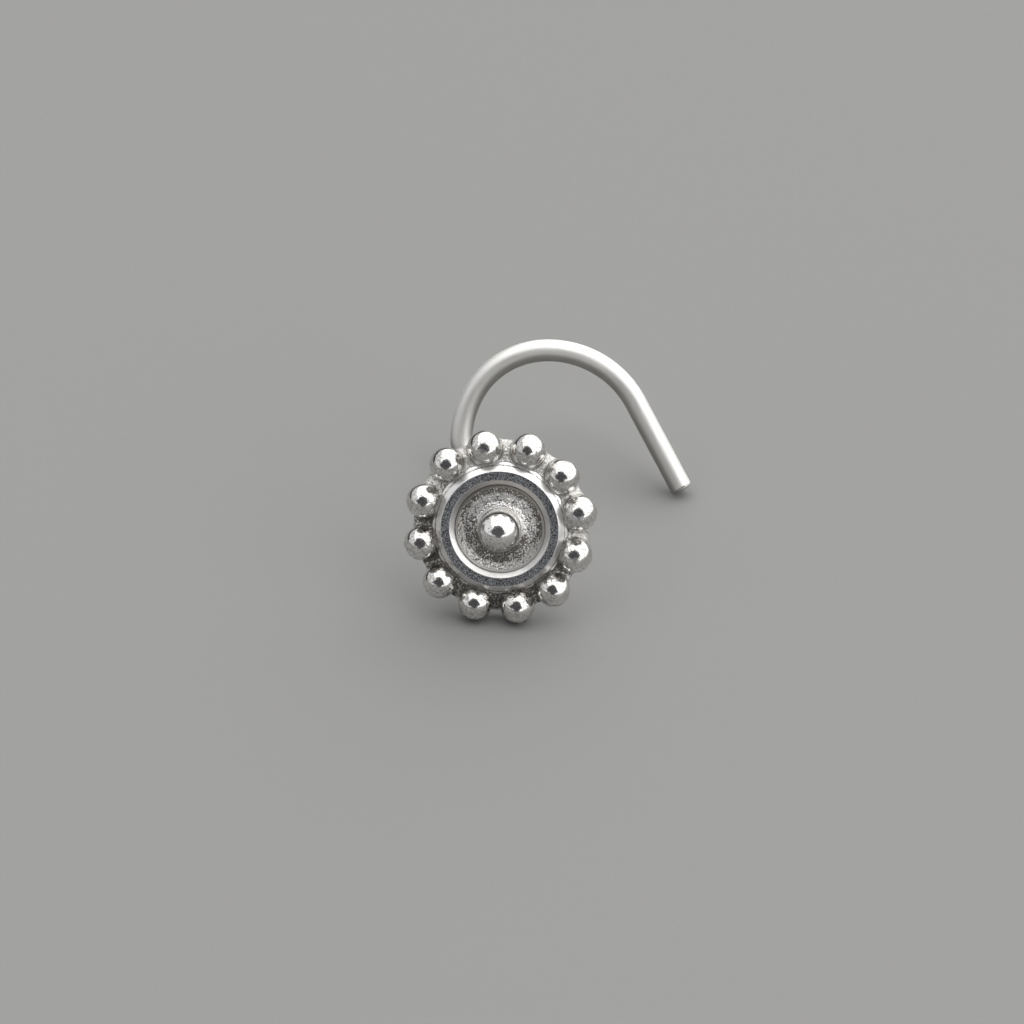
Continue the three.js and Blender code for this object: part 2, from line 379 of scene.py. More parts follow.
def polished_silver(finish):
    """Hand-polished silver, with fine pits and scratches, a speckled patina in its corners that
    also carries painted shade, and painted shade on the sides that face down at rest.
    """

    def lay_out(bench):
        place = bench.place()
        smears = bench.clouds(place, 0.55, 3.0)
        speckle = bench.clouds(place, 0.085, 2.0)
        fine = bench.clouds(place, 0.036, 1.0)
        recess, solder = bench.kept("recess"), bench.kept("solder")
        # The corner number holds real patina and also painted shade: on the head's shaded side and
        # under each granule.
        speckled = bench.plus(recess, fine, bench.times(speckle, 1.6), -1.3)
        patina = bench.ramp(speckled, 0.15, 0.5)
        pits = bench.ramp(bench.plus(fine, bench.times(smears, 0.25)), 0.7, 0.8)
        hairlines = bench.math(
            "MAXIMUM",
            bench.scratches(place, (0.3, 0.8, 0.4), 1.1, 0.16, 0.006),
            bench.scratches(place, (1.2, 0.2, 1.9), 0.9, 0.2, 0.006),
        )
        dulled = bench.ramp(bench.plus(fine, bench.times(smears, 0.5)), 0.64, 0.9, 0.0, 0.35)
        tint = bench.blend(dulled, finish.silver, SMEARED_SILVER)
        # Painted shade, mottled, on the sides that face down at rest.
        mottled = bench.ramp(bench.plus(speckle, bench.times(fine, 0.6)), 0.66, 0.94, 0.25, 1.6)
        tarnish = bench.times(bench.kept("tarnish"), mottled)
        tint = bench.blend(tarnish, tint, finish.tarnish)
        tint = bench.blend(patina, tint, finish.patina)
        roughness = bench.plus(
            bench.ramp(speckle, 0.42, 0.68, 0.06, 0.17),
            bench.times(patina, 0.2),
            bench.times(solder, 0.36),
            bench.times(bench.kept("worn"), 0.26),
            bench.times(hairlines, 0.04),
        )
        height = bench.plus(
            bench.times(bench.clouds(place, 0.2, 2.0), 0.0026),
            bench.times(speckle, bench.ramp(recess, 0.0, 0.6, 0.0004, 0.009)),
            bench.times(fine, solder, 0.022),
            bench.times(speckle, solder, 0.055),
            bench.times(speckle, bench.kept("worn"), 0.01),
            bench.times(pits, -0.0006),
            bench.times(hairlines, -0.00018),
        )
        return tint, roughness, bench.bump(height)

    return metal("polished_silver", lay_out)


def ring_silver(finish):
    """The ring: polished bevels, a satin face between them and patina at its foot, with painted
    shade at the foot on the head's shaded side and on the bevels where they face down.
    """

    def lay_out(bench):
        place = bench.place()
        smears = bench.clouds(place, 0.5, 3.0)
        speckle = bench.clouds(place, 0.055, 2.0)
        coarse = bench.clouds(place, 0.3, 2.0)
        face, recess = bench.kept("face"), bench.kept("recess")
        patina = bench.ramp(bench.plus(recess, bench.times(speckle, 1.6), -0.8), 0.3, 0.62)
        hairlines = bench.scratches(place, (0.6, 0.1, 0.9), 1.1, 0.16, 0.008)
        dots = bench.clouds(place, 0.038, 1.0)
        darker = bench.ramp(bench.plus(dots, bench.times(coarse, 0.12)), 0.42, 0.7)
        satin = bench.blend(darker, finish.face, FACE_DOTS)
        bevel = bench.blend(bench.ramp(speckle, 0.5, 0.75, 0.0, 0.3), finish.silver, SMEARED_BEVEL)
        # Painted shade on the bevels where they face down at rest.
        bevel = bench.blend(bench.times(bench.kept("tarnish"), 0.4), bevel, finish.tarnish)
        # Painted shade in the patina's colour on the inner bevel where it faces down.
        bevel = bench.blend(bench.times(bench.kept("dulled"), 0.7), bevel, finish.patina)
        tint = bench.blend(face, bevel, satin)
        tint = bench.blend(patina, tint, finish.patina)
        roughness = bench.plus(
            bench.ramp(smears, 0.3, 0.7, 0.28, 0.34),
            bench.times(patina, 0.2),
        )
        height = bench.plus(
            bench.times(speckle, bench.ramp(face, 0.0, 1.0, 0.0008, 0.007)),
            bench.times(hairlines, -0.0005),
        )
        return tint, roughness, bench.bump(height)

    return metal("ring_silver", lay_out)


def darkened_silver(finish):
    """Blasted silver that was darkened and rubbed, so that its grain shines out of the patina. Its
    grain is also painted brighter where its skin faces the dish's light, and painted shade darkens
    the top of the lip.
    """

    def lay_out(bench):
        place = bench.place()
        smears = bench.clouds(place, 0.3, 2.0)
        speckle = bench.clouds(place, 0.05, 2.0)
        grain, grainy, recess = (bench.kept(name) for name in ("grain", "grainy", "recess"))
        # The rubbing mixes real wear of the grain tops with painted light where the skin faces the
        # dish's light way.
        rubbed = bench.plus(
            bench.times(grain, 0.8),
            speckle,
            bench.times(smears, 0.5),
            bench.times(bench.kept("rubbed"), 0.26),
            -0.68,
        )
        shine = bench.ramp(rubbed, 0.27, 0.55)
        blasted = bench.blend(shine, finish.patina, finish.dish)
        tint = bench.blend(grainy, finish.dish, blasted)
        tint = bench.blend(bench.times(recess, 0.95), tint, finish.patina)
        roughness = bench.plus(
            bench.ramp(smears, 0.3, 0.7, 0.22, 0.28),
            bench.times(grainy, 0.16),
            bench.times(shine, -0.04),
            bench.times(bench.kept("lip"), 0.24),
        )
        height = bench.times(speckle, bench.ramp(grainy, 0.0, 1.0, 0.001, 0.007))
        return tint, roughness, bench.bump(height)

    return metal("darkened_silver", lay_out)


def satin_silver(finish):
    """Drawn wire with a satin skin: fine lines along it, saw marks on its cut end and painted shade
    on its underside.
    """

    def lay_out(bench):
        place = bench.place()
        unbent = bench.in_millimetres(bench.kept("unbent", "Vector"))
        lines = bench.clouds(bench.stretched(unbent, (0, 0, 0), (0.022, 0.022, 1.3)), 1.0, 2.0)
        smears = bench.clouds(bench.stretched(unbent, (0, 0, 0), (0.3, 0.3, 0.8)), 1.0, 3.0)
        nicks = bench.scratches(place, (0.4, 1.1, 0.3), 0.9, 0.14, 0.008)
        saw = bench.clouds(bench.stretched(unbent, (0, 0, 0.6), (0.02, 0.6, 4.0)), 1.0, 1.0)
        cut = bench.kept("cut")
        tint = bench.blend(bench.ramp(smears, 0.35, 0.7, 0.0, 0.25), finish.satin, SMEARED_WIRE)
        # Painted shade on the wire's underside at rest.
        tint = bench.blend(bench.kept("tarnish"), tint, TARNISHED_WIRE)
        tint = bench.blend(bench.times(nicks, 0.25), tint, NICKED_WIRE)
        roughness = bench.plus(
            bench.ramp(smears, 0.3, 0.7, 0.48, 0.56), bench.ramp(lines, 0.35, 0.65, -0.03, 0.04)
        )
        drawn = bench.times(lines, bench.ramp(cut, 0.0, 1.0, 0.0011, 0.0))
        sawn = bench.times(saw, bench.ramp(cut, 0.0, 1.0, 0.0, 0.006))
        return tint, roughness, bench.bump(bench.plus(drawn, sawn, bench.times(nicks, -0.0006)))

    return metal("satin_silver", lay_out)


# --- Mesh work -----------------------------------------------------------------------------------


def woven_mesh(name, rows, tips=None):
    """A mesh of faces woven between rings of points, where rows[row, column] is a point.

    Its columns go once round. Without tips the last row is joined to the first. With tips, a pair
    of points, it is open and each end is closed round its tip. It is unrolled into a map.
    """
    count, columns = rows.shape[:2]
    closed = tips is None
    last = count if closed else count - 1
    row, column = (grid.ravel() for grid in np.indices((last, columns)))
    row_after, column_after = (row + 1) % count, (column + 1) % columns
    faces = np.stack(
        [
            row * columns + column,
            row * columns + column_after,
            row_after * columns + column_after,
            row_after * columns + column,
        ],
        axis=1,
    ).tolist()
    steps = np.linalg.norm(np.roll(rows, -1, axis=0) - rows, axis=2).mean(axis=1)[:last]
    along = np.concatenate([[0.0], np.cumsum(steps)]) / steps.sum()
    left, right = column / columns, (column + 1) / columns
    low, high = along[row], along[row + 1]
    unrolled = np.stack([left, low, right, low, right, high, left, high], axis=1).reshape(-1, 2)
    points = rows.reshape(-1, 3)
    if not closed:
        points = np.concatenate([points, tips])
        first_tip, last_row = len(points) - 2, (count - 1) * columns
        near = np.arange(columns)
        after = (near + 1) % columns
        start = np.stack([np.full(columns, first_tip), after, near], axis=1)
        end = np.stack([np.full(columns, first_tip + 1), last_row + near, last_row + after], axis=1)
        faces += start.tolist() + end.tolist()
        unrolled = np.concatenate([unrolled, np.zeros((3 * columns, 2)), np.ones((3 * columns, 2))])
    mesh = bpy.data.meshes.new(name)
    mesh.from_pydata(points.tolist(), [], faces)
    mesh.uv_layers.new(name="OFBake").data.foreach_set("uv", unrolled.astype(np.float32).ravel())
    return mesh


def turned_rows(outline, columns):
    """The rows of a piece that is round about the head's axis, from its (radius, height) pairs."""
    turn = np.linspace(0, 2 * math.pi, columns, endpoint=False)
    radius, height = np.array(outline).T[..., None]
    x, y = radius * np.cos(turn), radius * np.sin(turn)
    return np.stack([x, y, np.repeat(height, columns, axis=1)], axis=2)


def softened(outline, longest, hidden=0.0, edge_steps=5):
    """Rounds the corners of a closed outline and splits its long stretches.

    The outline is a list of (radius, height, edge), where edge is how far from the corner its
    rounding starts, or 0 for a point that is passed as it is. A stretch that reaches down to the
    hidden height stays whole.
    """
    corners = np.array([(radius, height) for radius, height, _ in outline])
    line = []
    for i, (_, _, edge) in enumerate(outline):
        corner = corners[i]
        if edge == 0:
            line.append(corner)
            continue
        before, after = corners[i - 1] - corner, corners[(i + 1) % len(outline)] - corner
        before, after = (
            side / np.linalg.norm(side) * min(edge, 0.45 * np.linalg.norm(side))
            for side in (before, after)
        )
        for t in np.linspace(0, 1, edge_steps + 1):
            line.append(corner + before * (1 - t) ** 2 + after * t**2)
    split = []
    for i, start in enumerate(line):
        end = line[(i + 1) % len(line)]
        seen = min(start[1], end[1]) > hidden
        pieces = math.ceil(np.linalg.norm(end - start) / longest) if seen else 1
        split += [start + (end - start) * k / pieces for k in range(pieces)]
    return split


def keep(mesh, **values):
    """Keeps numbers for each point of the mesh under their names, for its finish to read."""
    for name, numbers in values.items():
        held = mesh.attributes.new(name, "FLOAT", "POINT")
        held.data.foreach_set("value", np.asarray(numbers, np.float32).ravel())


def keep_places(mesh, name, places):
    """Keeps a place for each point of the mesh, for its finish to read."""
    held = mesh.attributes.new(name, "FLOAT_VECTOR", "POINT")
    held.data.foreach_set("vector", np.asarray(places, np.float32).ravel())


def points_of(mesh):
    points = np.empty(3 * len(mesh.vertices))
    mesh.vertices.foreach_get("co", points)
    return points.reshape(-1, 3)


def normals_of(mesh):
    normals = np.empty(3 * len(mesh.vertices))
    mesh.vertex_normals.foreach_get("vector", normals)
    return normals.reshape(-1, 3)


def round_and_up(points):
    """How far each point is from the head's axis, and its height over the flat back."""
    return np.hypot(points[..., 0], points[..., 1]), points[..., 2]


def waves(points, size):
    """Smooth unevenness between -1 and 1, whose waves are about as long as size."""
    return np.array([noise.noise(Vector(point) / size) for point in points])


def away_from_cloth(points):
    """Painted shade across the head: 0 on the side taken as lit, 1 on the side taken as shaded."""
    side = np.array(CLOTH_SIDE) / np.linalg.norm(CLOTH_SIDE)
    across = points[:, :2] @ side / np.linalg.norm(points[:, :2], axis=1).max()
    return 1 - smooth_step(-0.55, 0.6, across)


def facing_down(mesh, first=-0.45, last=0.1):
    """How much each point's skin faces down at rest, where it gets painted shade.

    Skin that faces straight down counts as 1, sideways as 0 and straight up as -1. The result is 0
    up to first and eases to 1 at last.
    """
    down = head_at_rest().to_3x3().transposed() @ Vector((0, 0, -1))
    return smooth_step(first, last, normals_of(mesh) @ np.array(down))


def raise_skin(mesh, heights):
    """Moves each point of the mesh along its normal."""
    raised = points_of(mesh) + normals_of(mesh) * np.asarray(heights)[:, None]
    mesh.vertices.foreach_set("co", raised.ravel())
    mesh.update()


def smooth_step(low, high, values):
    x = np.clip((values - low) / (high - low), 0, 1)
    return x * x * (3 - 2 * x)


def soft_union(first, second, softness):
    """The distance from two shapes joined by a fillet, from the distance from each."""
    mix = np.clip(0.5 + 0.5 * (second - first) / softness, 0, 1)
    return second + (first - second) * mix - softness * mix * (1 - mix)


def skin_from(spine, heading, distance_of, reach, steps=25, halvings=13):
    """Where the rays that leave the spine points first meet the skin of a shape."""
    inside = np.zeros(heading.shape[:-1])
    outside = np.full(inside.shape, reach)
    met = np.zeros(inside.shape, bool)
    for step in range(1, steps + 1):
        along = reach * step / steps
        meets = ~met & (distance_of(spine + heading * along) > 0)
        outside[meets], inside[meets] = along, along - reach / steps
        met |= meets
    for _ in range(halvings):
        middle = (inside + outside) / 2
        beyond = distance_of(spine + heading * middle[..., None]) > 0
        outside = np.where(beyond, middle, outside)
        inside = np.where(beyond, inside, middle)
    return spine + heading * ((inside + outside) / 2)[..., None]


# --- The granulated plate ------------------------------------------------------------------------

RIM_COLUMNS = 600
RIM_ROWS = 106
RIM_TRIAL_ROWS = 260
SPINE_HEIGHT = 0.16 * MM
HIDDEN_WALL = 2.25 * MM


def granule_places(plate):
    """The centre and the radius of each granule."""
    places = []
    for index, granule in enumerate(GRANULES):
        turn = GRANULE_START - index * 2 * math.pi / len(GRANULES) + math.radians(granule["stray"])
        reach = plate.circle + granule["out"] * MM
        centre = np.array((reach * math.cos(turn), reach * math.sin(turn), plate.height))
        places.append((centre, granule["radius"] * MM))
    return places


def distance_to_granules(points, plate):
    """Distance from the granules, with solder between neighbours, below 0 inside them."""
    joined = np.full(points.shape[:-1], 1.0)
    for centre, radius in granule_places(plate):
        away = np.linalg.norm(points - centre, axis=-1) - radius
        joined = soft_union(joined, away, plate.solder)
    return joined


def distance_to_bed(points, plate, ring):
    """Distance from the sloping bed and the ledge's wall, which the granules are soldered to."""
    radius, height = round_and_up(points)
    fall = (plate.foot - plate.thickness) / (plate.radius - ring.ledge_outer)
    across = radius - plate.radius + plate.edge
    over = (height - plate.foot + fall * (radius - ring.ledge_outer)) / math.hypot(1, fall)
    up = over + plate.edge
    to_bed = np.hypot(np.maximum(across, 0), np.maximum(up, 0)) - plate.edge
    to_bed += np.minimum(np.maximum(across, up), 0)
    wall_top = ring.ledge_height - ring.ledge_drop - 0.01 * MM
    to_wall = np.maximum(radius - ring.ledge_outer + 0.01 * MM, height - wall_top)
    return soft_union(to_bed, to_wall, plate.edge)


def dents(points, plate):
    """How far the dents sink each point of the granules, and how much of a dent is there."""
    places = granule_places(plate)
    depth, worn = np.zeros(len(points)), np.zeros(len(points))
    for dent in DENTS:
        centre, radius = places[dent["granule"]]
        out = math.sqrt(1 - dent["right"] ** 2 - dent["up"] ** 2)
        middle = centre + radius * np.array((dent["right"], dent["up"], out))
        away = np.linalg.norm(points - middle, axis=1) / (dent["reach"] * MM)
        depth += dent["depth"] * MM * np.clip(1 - away**2, 0, 1) ** 2
        worn = np.maximum(worn, 1 - smooth_step(0.55, 0.8, away))
    return depth, worn


def distance_to_rim(points, plate, ring):
    """Distance from the whole soldered rim, filed flat behind and cut round where the ring sits."""
    granules, bed = distance_to_granules(points, plate), distance_to_bed(points, plate, ring)
    rim = soft_union(granules, bed, plate.solder)
    radius, height = round_and_up(points)
    rim = -soft_union(-rim, height, 0.04 * MM)
    under_ledge = ring.ledge_height - ring.ledge_drop - 0.02 * MM
    beside_ring = np.minimum(ring.ledge_outer - radius, height - under_ledge)
    return np.maximum(np.maximum(rim, beside_ring), HIDDEN_WALL - radius)


def rim_rows(plate, ring):
    """Rows round the rim, from the foot of the ring over the granules to the flat back."""
    turn = np.linspace(0, 2 * math.pi, RIM_COLUMNS, endpoint=False)
    outwards = np.stack([np.cos(turn), np.sin(turn), np.zeros(RIM_COLUMNS)], axis=-1)
    spine = outwards * plate.circle + np.array((0, 0, SPINE_HEIGHT))

    def skin(tilt):
        heading = outwards * np.cos(tilt)[..., None]
        heading = heading + np.array((0, 0, 1)) * np.sin(tilt)[..., None]
        return skin_from(spine, heading, lambda p: distance_to_rim(p, plate, ring), 1.0 * MM)

    inwards = plate.circle - HIDDEN_WALL
    first_tilt = math.pi - math.atan2(0.14 * MM, inwards)
    last_tilt = math.atan2(SPINE_HEIGHT, inwards * 0.92) - math.pi
    tilts = np.linspace(first_tilt, last_tilt, RIM_TRIAL_ROWS)
    tilt = np.repeat(tilts[:, None], RIM_COLUMNS, axis=1)
    coarse = skin(tilt)
    lengths = np.linalg.norm(np.diff(coarse, axis=0), axis=-1)
    along = np.concatenate([np.zeros((1, RIM_COLUMNS)), np.cumsum(lengths, axis=0)])
    even = np.stack(
        [
            np.interp(np.linspace(0, along[-1, j], RIM_ROWS), along[:, j], tilt[:, j])
            for j in range(RIM_COLUMNS)
        ],
        axis=1,
    )
    return skin(even)


def back_outline(plate, wire):
    """The flat back from the rim in to the solder flare at the post, and the way back inside."""
    root = wire.radius + wire.flare
    outline = [(radius, 0.0) for radius in np.linspace(HIDDEN_WALL - 0.02 * MM, root * 1.04, 22)]
    for turn in np.linspace(math.pi / 2, 0, 7):
        outline.append((root - wire.flare * math.cos(turn), wire.flare * (math.sin(turn) - 1)))
    inside = plate.thickness / 2
    return outline + [
        (wire.radius * 0.9, -wire.flare),
        (wire.radius * 0.9, inside),
        (HIDDEN_WALL - 0.05 * MM, inside),
    ]


def rim_wear(points, stud):
    """For each point of the rim: its patina with painted shade in it, how much of it is solder, and
    if it is behind.
    """
    plate, ring, wire = stud.plate, stud.ring, stud.wire
    radius, height = round_and_up(points)
    off_corner = np.abs(distance_to_granules(points, plate))
    off_corner += np.abs(distance_to_bed(points, plate, ring))
    corner = 1 - smooth_step(0.02 * MM, 0.24 * MM, off_corner)
    inner = 1 - smooth_step(ring.outer + 0.15 * MM, plate.circle - 0.05 * MM, radius)
    inner *= 1 - smooth_step(plate.height + 0.3 * MM, plate.height + 0.55 * MM, height)
    places = granule_places(plate)
    off_each = np.array([np.linalg.norm(points - centre, axis=1) - r for centre, r in places])
    solder = smooth_step(0.004 * MM, 0.05 * MM, off_each.min(axis=0))
    nearest = np.array([centre[1] for centre, _ in places])[off_each.argmin(axis=0)]
    # Painted shade under each granule, on its lower side near the bed.
    flank = smooth_step(0.2 * MM, 0.55 * MM, nearest - points[:, 1])
    flank *= 1 - smooth_step(plate.height + 0.2 * MM, plate.height + 0.5 * MM, height)
    # Painted shade across the head: the patina in the corners, round the ring and on the solder is
    # laid towards the shaded side, and the solder is lighter on the lit side.
    dull = away_from_cloth(points)
    patina = 0.3 * dull * corner + 0.26 * dull * inner
    patina += (0.33 * dull - 0.15) * solder + (0.28 * dull + 0.1) * flank
    behind = height < 0.005 * MM
    past_root = radius[behind] - wire.radius - wire.flare
    patina[behind] = 0.75 * (1 - smooth_step(-0.1 * MM, 0.25 * MM, past_root))
    return patina, solder, behind


class NOSE_STUD_OT_make_granulated_plate(bpy.types.Operator):
    """Makes the round plate with its twelve granules and the solder that holds them"""

    bl_idname = "nose_stud.make_granulated_plate"
    bl_label = "Granulated Plate"

    def execute(self, context):
        stud = context.scene.nose_stud
        plate = stud.plate
        back = turned_rows(back_outline(plate, stud.wire), RIM_COLUMNS)
        rows = np.concatenate([rim_rows(plate, stud.ring), back])
        mesh = woven_mesh("GranulatedPlate", rows)
        points = points_of(mesh)
        patina, solder, behind = rim_wear(points, stud)
        depth, worn = dents(points, plate)
        # The sides that face down at rest get painted shade.
        keep(mesh, recess=patina, solder=solder, tarnish=facing_down(mesh), worn=worn)
        hand = plate.unevenness * waves(points, 0.5 * MM) - depth
        grain = 0.5 * plate.unevenness * (0.1 + solder) * waves(points, 0.1 * MM)
        raise_skin(mesh, np.where(behind, 0.2, 1.0) * (hand + grain))
        stand_piece("GranulatedPlate", mesh, polished_silver(stud.finish))
        return {"FINISHED"}


# --- The stepped ring ----------------------------------------------------------------------------

RING_COLUMNS = 576


def ring_outline(ring):
    """The ring's section from the ledge's foot over the face to the inner foot."""
    return softened(
        [
            (ring.ledge_outer, HIDDEN_FOOT, 0.0),
            (ring.ledge_outer, ring.ledge_height - ring.ledge_drop, 0.6 * ring.edge),
            (ring.ledge_inner, ring.ledge_height, 0.3 * ring.edge),
            (ring.outer, ring.ledge_height, 0.0),
            (ring.outer, ring.height - ring.outer_drop, 0.5 * ring.edge),
            (ring.face_outer, ring.height, ring.edge),
            (ring.face_inner, ring.height, 0.8 * ring.edge),
            (ring.inner, ring.height - ring.inner_drop, 0.8 * ring.edge),
            (ring.inner, HIDDEN_FOOT, 0.0),
        ],
        0.03 * MM,
    )


def ring_patina(points, ring):
    """How dark each point is: the ledge is darkest in its corner and has painted shade on the
    head's shaded side, and the inside wall is dim.
    """
    radius, height = round_and_up(points)
    at_foot = (radius > ring.outer - 0.01 * MM) & (height < ring.ledge_height + 0.02 * MM)
    in_corner = at_foot & (radius < ring.ledge_inner + 0.012 * MM)
    inside = (radius < ring.inner + 0.01 * MM) & (height < ring.height - ring.inner_drop)
    # Painted shade: the ledge is darker towards the head's shaded side.
    patina = np.where(at_foot, 0.05 + 0.2 * away_from_cloth(points), 0.0)
    patina[in_corner] += 0.36
    patina[inside] = 0.2
    return patina


class NOSE_STUD_OT_make_stepped_ring(bpy.types.Operator):
    """Makes the ring inside the granules, with its flat face between two bevels"""

    bl_idname = "nose_stud.make_stepped_ring"
    bl_label = "Stepped Ring"

    def execute(self, context):
        stud = context.scene.nose_stud
        ring = stud.ring
        mesh = woven_mesh("SteppedRing", turned_rows(ring_outline(ring), RING_COLUMNS))
        points = points_of(mesh)
        radius, _ = round_and_up(points)
        face = smooth_step(ring.face_inner, ring.face_inner + 0.02 * MM, radius)
        face *= 1 - smooth_step(ring.face_outer - 0.02 * MM, ring.face_outer, radius)
        # Painted shade on the skin that faces down at rest, and more of it on the inner bevel.
        tarnish = facing_down(mesh)
        dulled = tarnish * (radius < ring.face_inner)
        keep(mesh, face=face, recess=ring_patina(points, ring), tarnish=tarnish, dulled=dulled)
        hand = 0.0016 * MM * waves(points, 0.5 * MM)
        raise_skin(mesh, hand + 0.0007 * MM * waves(points, 0.12 * MM))
        stand_piece("SteppedRing", mesh, ring_silver(stud.finish))
        return {"FINISHED"}


# --- The dish ------------------------------------------------------------------------------------

DISH_COLUMNS = 720
GRAIN_CELLS = 192


def blasted_grain(points, spacing, seed):
    """Height from 0 to 1 of a skin of round grains set close together, seen from the front."""
    dice = np.random.default_rng(seed)
    jitter = dice.uniform(0.1, 0.9, (GRAIN_CELLS, GRAIN_CELLS, 2))
    size = dice.uniform(0.45, 1.0, (GRAIN_CELLS, GRAIN_CELLS))
    place = points[:, :2] / spacing + GRAIN_CELLS / 2
    cell = np.floor(place).astype(int)
    height = np.zeros(len(points))
    for step in np.ndindex(3, 3):
        near = cell + np.array(step) - 1
        centre = near + jitter[near[:, 0], near[:, 1]]
        away = ((place - centre) ** 2).sum(axis=1)
        height = np.maximum(height, size[near[:, 0], near[:, 1]] * (1 - away / 0.55))
    return height


def slope(start, end, part, steps):
    """Points up a slope between two (radius, height) points, with no edges to round.

    It starts level and has gone through this part of half a cosine wave at its end.
    """
    t = np.linspace(0, 1, steps + 1)
    ease = (1 - np.cos(math.pi * part * t)) / (1 - math.cos(math.pi * part))
    radius = start[0] + (end[0] - start[0]) * t
    height = start[1] + (end[1] - start[1]) * ease
    return [(r, h, 0.0) for r, h in zip(radius, height)]


def dish_outline(dish, ring):
    """The dish's section from under the ring, by groove, lip and trough, to under the ball."""
    outer, inner = ring.inner + 0.04 * MM, 0.58 * MM
    trough_edge, lip = (dish.trough_outer, dish.trough_height), (dish.lip, dish.lip_height)
    return softened(
        [
            (outer, HIDDEN_FOOT, 0.0),
            (outer, dish.groove_height, 0.0),
            (dish.lip, dish.groove_height, 0.015 * MM),
            (*lip, 0.01 * MM),
            *slope(trough_edge, lip, 0.87, 12)[-2::-1],
            (dish.trough_inner, dish.trough_height + dish.trough_rise, 0.05 * MM),
            (dish.seat + 0.012 * MM, dish.seat_height - 0.035 * MM, 0.008 * MM),
            (dish.seat, dish.seat_height, 0.025 * MM),
            (inner, dish.seat_height, 0.0),
            (inner, HIDDEN_FOOT, 0.0),
        ],
        0.0125 * MM,
        HIDDEN_FOOT,
    )


class NOSE_STUD_OT_make_dish(bpy.types.Operator):
    """Makes the sunk, grainy dish with its lip, its trough and the ball's raised seat"""

    bl_idname = "nose_stud.make_dish"
    bl_label = "Dish"

    def execute(self, context):
        stud = context.scene.nose_stud
        dish = stud.dish
        rows = turned_rows(dish_outline(dish, stud.ring), DISH_COLUMNS)
        mesh = woven_mesh("Dish", rows)
        points = points_of(mesh)
        radius, _ = round_and_up(points)
        grainy = smooth_step(dish.seat + 0.01 * MM, dish.seat + 0.07 * MM, radius)
        grainy *= 1 - smooth_step(dish.lip - 0.11 * MM, dish.lip - 0.05 * MM, radius)
        grain = 0.7 * blasted_grain(points, dish.grain, 7)
        grain += 0.3 * blasted_grain(points, dish.grain * 0.55, 11)
        # Painted light: the grain shines more where the dish's skin faces its light way.
        cloth = np.array(DISH_CLOTH_WAY) / np.linalg.norm(DISH_CLOTH_WAY)
        rubbed = np.clip(np.tanh(5 * (normals_of(mesh) @ cloth - cloth[2])), -0.85, 0.38)
        lip = smooth_step(dish.lip - 0.12 * MM, dish.lip - 0.06 * MM, radius)
        # Painted shade: the lip's patina is darker towards the top and the left of the head.
        lip_patina = lip * (0.64 + (0.36 * points[:, 1] - 0.1 * points[:, 0]) / radius)
        seat_top = 1 - smooth_step(dish.seat - 0.035 * MM, dish.seat - 0.015 * MM, radius)
        patina = np.maximum(lip_patina, 0.63 * seat_top)
        keep(mesh, grain=grain, grainy=grainy, rubbed=rubbed, lip=lip, recess=patina)
        open_floor = 1 - smooth_step(dish.lip - 0.005 * MM, dish.lip + 0.01 * MM, radius)
        raise_skin(mesh, dish.grain_height * (0.06 + 0.94 * grainy) * (grain - 0.5) * open_floor)
        stand_piece("Dish", mesh, darkened_silver(stud.finish))
        return {"FINISHED"}


# --- The centre ball -----------------------------------------------------------------------------


def distance_to_ball(points, ball, dish):
    """Distance from the ball and the solder that joins it to the top of its seat."""
    to_ball = np.linalg.norm(points - np.array((0, 0, ball.height)), axis=-1) - ball.radius
    radius, height = round_and_up(points)
    to_seat = np.maximum(radius - 0.72 * MM, height - dish.seat_height + 0.008 * MM)
    to_foot = dish.trough_height - height
    return np.maximum(soft_union(to_ball, to_seat, ball.solder), to_foot)


class NOSE_STUD_OT_make_centre_ball(bpy.types.Operator):
    """Makes the ball in the middle, soldered to its seat"""

    bl_idname = "nose_stud.make_centre_ball"
    bl_label = "Centre Ball"

    def execute(self, context):
        stud = context.scene.nose_stud
        ball, dish = stud.ball, stud.dish
        shape = bmesh.new()
        bmesh.ops.create_icosphere(shape, subdivisions=6, radius=1.0)
        heading = np.array([vertex.co for vertex in shape.verts])
        centre = np.array((0, 0, ball.height))
        skin = skin_from(centre, heading, lambda p: distance_to_ball(p, ball, dish), 0.9 * MM)
        for vertex, place in zip(shape.verts, skin):
            vertex.co = place
        mesh = bpy.data.meshes.new("CentreBall")
        shape.to_mesh(mesh)
        shape.free()
        points = points_of(mesh)
        patina = 0.5 * (1 - smooth_step(0.0, 0.04 * MM, points[:, 2] - dish.seat_height))
        # The sides that face down at rest get painted shade.
        keep(mesh, recess=patina, tarnish=facing_down(mesh))
        raise_skin(mesh, ball.unevenness * waves(points + MM, 0.4 * MM))
        stand_piece("CentreBall", mesh, polished_silver(stud.finish))
        return {"FINISHED"}


# --- The nose-screw wire -------------------------------------------------------------------------

WIRE_SIDES = 40
WIRE_STEP = 0.05 * MM
WIRE_ROOT_DEPTH = 0.2 * MM
CUT_DOME = 0.012 * MM


